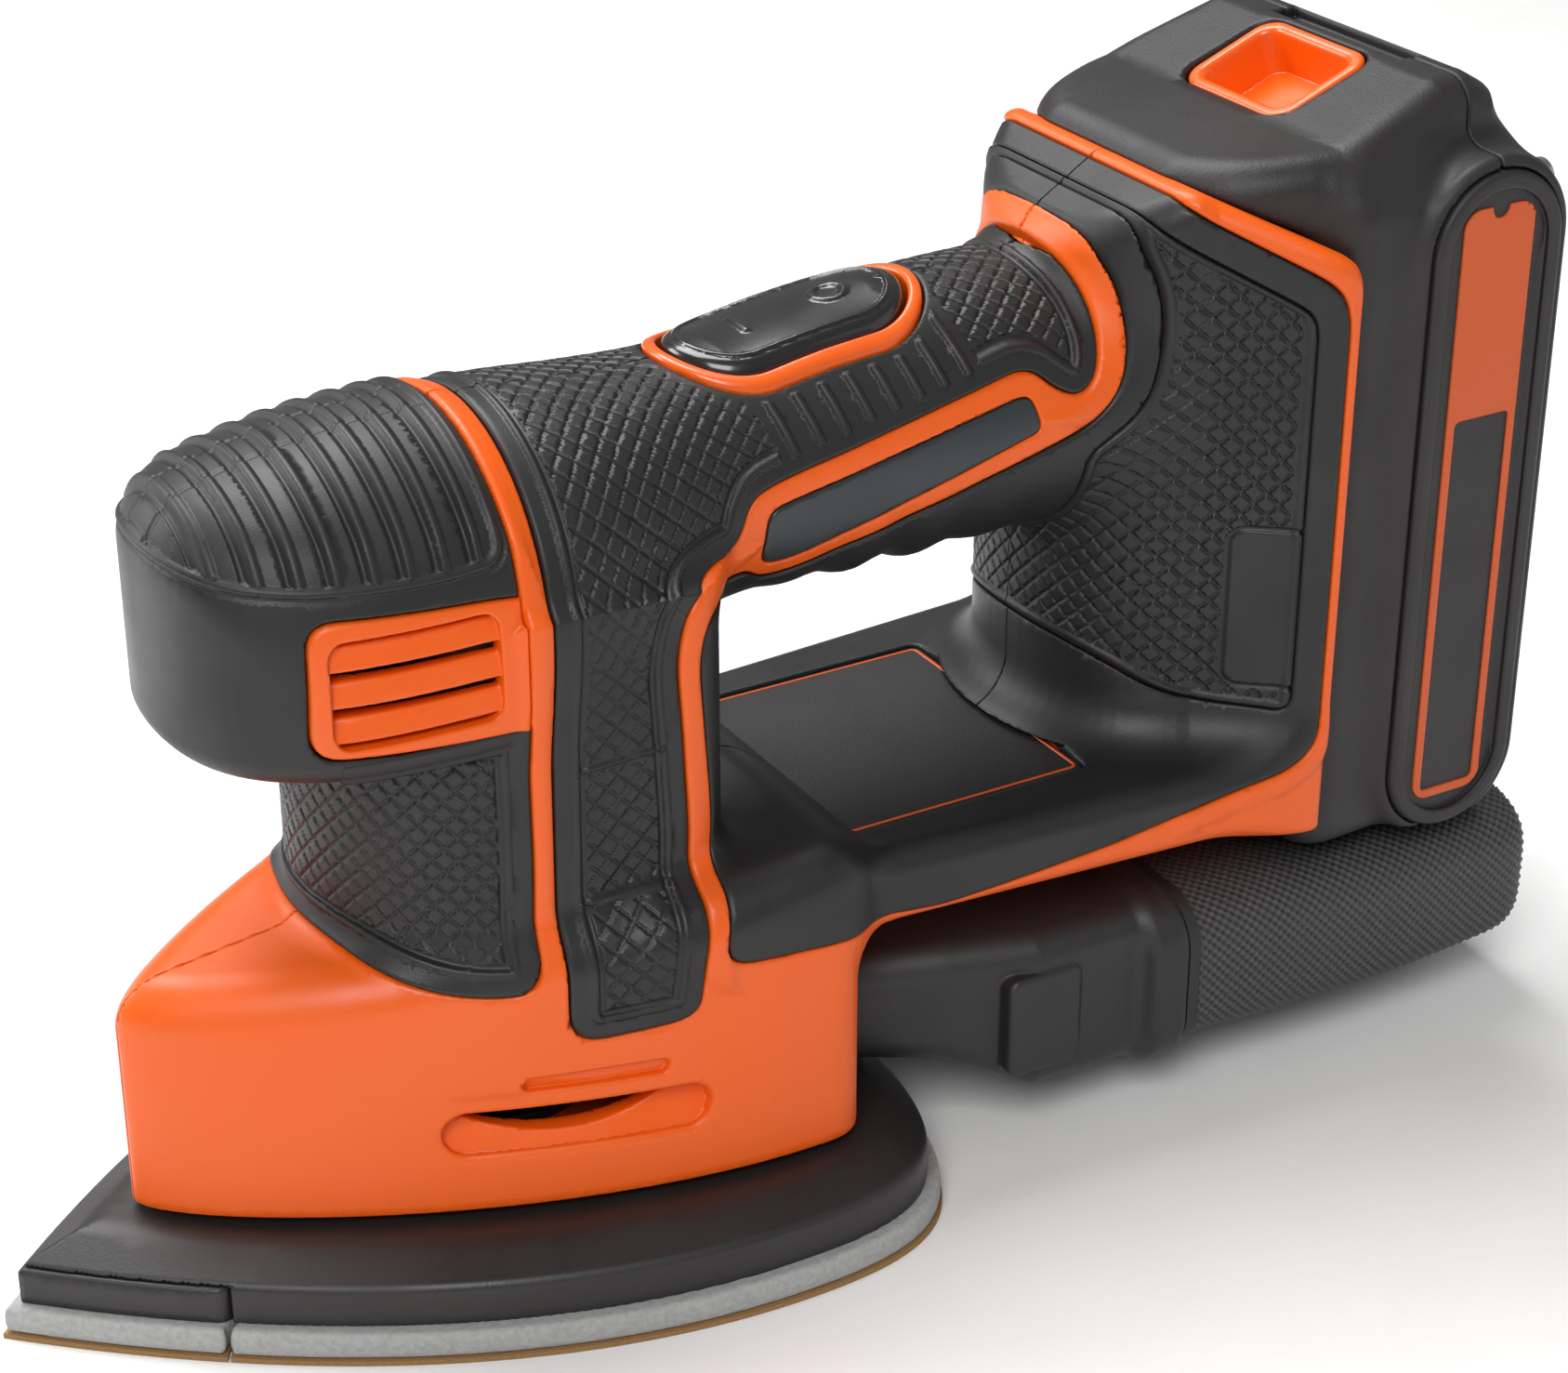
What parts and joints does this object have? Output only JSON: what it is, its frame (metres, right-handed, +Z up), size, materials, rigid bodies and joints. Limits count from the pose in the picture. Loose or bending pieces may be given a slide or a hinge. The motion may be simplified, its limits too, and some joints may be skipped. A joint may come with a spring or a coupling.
{
  "type": "detail mouse sander",
  "caption": "Cordless detail sander: pointed orbiting pad, orange clamshell body with a loop handle, slide-off battery, rocker switch and dust bag.",
  "frame": {"origin": "on the sanding face, half-way along the sheet and on the plane of symmetry", "axes": "-X towards the pointed tip, +X towards the battery, +Z up from the work"},
  "size_m": [0.253, 0.1, 0.157],
  "materials": {
    "orange_plastic": "fine moulded texture",
    "soft_grip": "soft overmould with a raised pattern",
    "charcoal_plastic": "fine moulded texture",
    "badge": "smooth, blank",
    "steel_screw": "zinc-plated",
    "gloss_black": "polished",
    "orange_gloss": "polished",
    "black_plastic": "moulded",
    "plate_plastic": "moulded",
    "motor_steel": "plated",
    "magnet": "sintered",
    "brass_contact": "bright",
    "zinc_casting": "cast",
    "rubber_part": "moulded",
    "foam": "closed-cell foam",
    "abrasive": "coated abrasive",
    "circuit_board": "glass-fibre board",
    "mesh_fabric": "woven mesh"
  },
  "bodies": {
    "housing": {"housing_left": "orange_plastic", "housing_right": "orange_plastic", "housing_screws": "steel_screw", "handle_grip_left": "soft_grip", "handle_grip_right": "soft_grip", "loop_cover_left": "charcoal_plastic", "loop_cover_right": "charcoal_plastic", "rear_grip_left": "soft_grip", "rear_grip_right": "soft_grip", "badge_plate_left": "badge", "badge_plate_right": "badge", "neck_grip": "soft_grip", "bar_inlay": "charcoal_plastic", "nose_cap": "charcoal_plastic", "nose_vent_left": "orange_plastic", "nose_vent_right": "orange_plastic", "switch_surround": "orange_plastic", "switch_module": "black_plastic", "motor_can": "motor_steel", "motor_magnets": "magnet", "lower_bearing": "motor_steel", "upper_bearing": "motor_steel", "motor_end_cap": "black_plastic", "brush_holders": "brass_contact", "motor_mount": "black_plastic", "isolator_posts": "rubber_part", "terminal_block": "black_plastic", "outlet_seal": "rubber_part"},
    "rotor": {"armature": "motor_steel", "motor_shaft": "motor_steel", "fan": "black_plastic", "eccentric": "zinc_casting"},
    "sanding_head": {"platen": "plate_plastic", "platen_screws": "steel_screw", "eccentric_bearing": "motor_steel", "detail_tip": "plate_plastic", "tip_foam": "foam", "tip_sheet": "abrasive", "foam_pad": "foam", "sanding_sheet": "abrasive"},
    "rocker": {"switch_rocker": "gloss_black"},
    "battery": {"pack_front_shell": "charcoal_plastic", "pack_rear_cover": "charcoal_plastic", "pack_screws": "steel_screw", "pack_panel_left": "badge", "pack_panel_right": "badge", "cells": "motor_steel", "cell_holder": "black_plastic", "pack_board": "circuit_board", "pack_terminals": "brass_contact"},
    "button": {"release_button": "orange_gloss"},
    "latch": {"latch_bolt": "black_plastic"},
    "dust_unit": {"dust_adaptor": "charcoal_plastic", "bag_frame": "charcoal_plastic", "dust_bag": "mesh_fabric"}
  },
  "joints": [
    {"name": "rotor_spin", "type": "hinge", "parent": "housing", "child": "rotor", "pos_m": [0.008, 0, 0.06], "axis": [0, 0, 1], "continuous": true},
    {"name": "platen_orbit", "type": "hinge", "parent": "rotor", "child": "sanding_head", "pos_m": [0.009, 0, 0], "axis": [0, 0, 1], "continuous": true, "deforming": ["isolator_posts"]},
    {"name": "rocker_tilt", "type": "hinge", "parent": "housing", "child": "rocker", "pos_m": [0.059, 0, 0.124], "axis": [0, 1, 0], "range_deg": [-5, 5]},
    {"name": "battery_slide", "type": "slide", "parent": "housing", "child": "battery", "axis": [0, 0, 1], "range_m": [0, 0.095]},
    {"name": "button_press", "type": "slide", "parent": "battery", "child": "button", "axis": [0.3746, 0, -0.9272], "range_m": [0, 0.003], "stiffness_N_per_m": 600, "springref_m": -0.002},
    {"name": "latch_lift", "type": "slide", "parent": "battery", "child": "latch", "axis": [0, 0, 1], "range_m": [0, 0.003]},
    {"name": "dust_unit_slide", "type": "slide", "parent": "housing", "child": "dust_unit", "axis": [1, 0, 0], "range_m": [0, 0.05]}
  ],
  "couplings": [
    {"joint": "platen_orbit", "follows": "rotor_spin", "ratio": -1},
    {"joint": "latch_lift", "follows": "button_press", "ratio": 1}
  ]
}
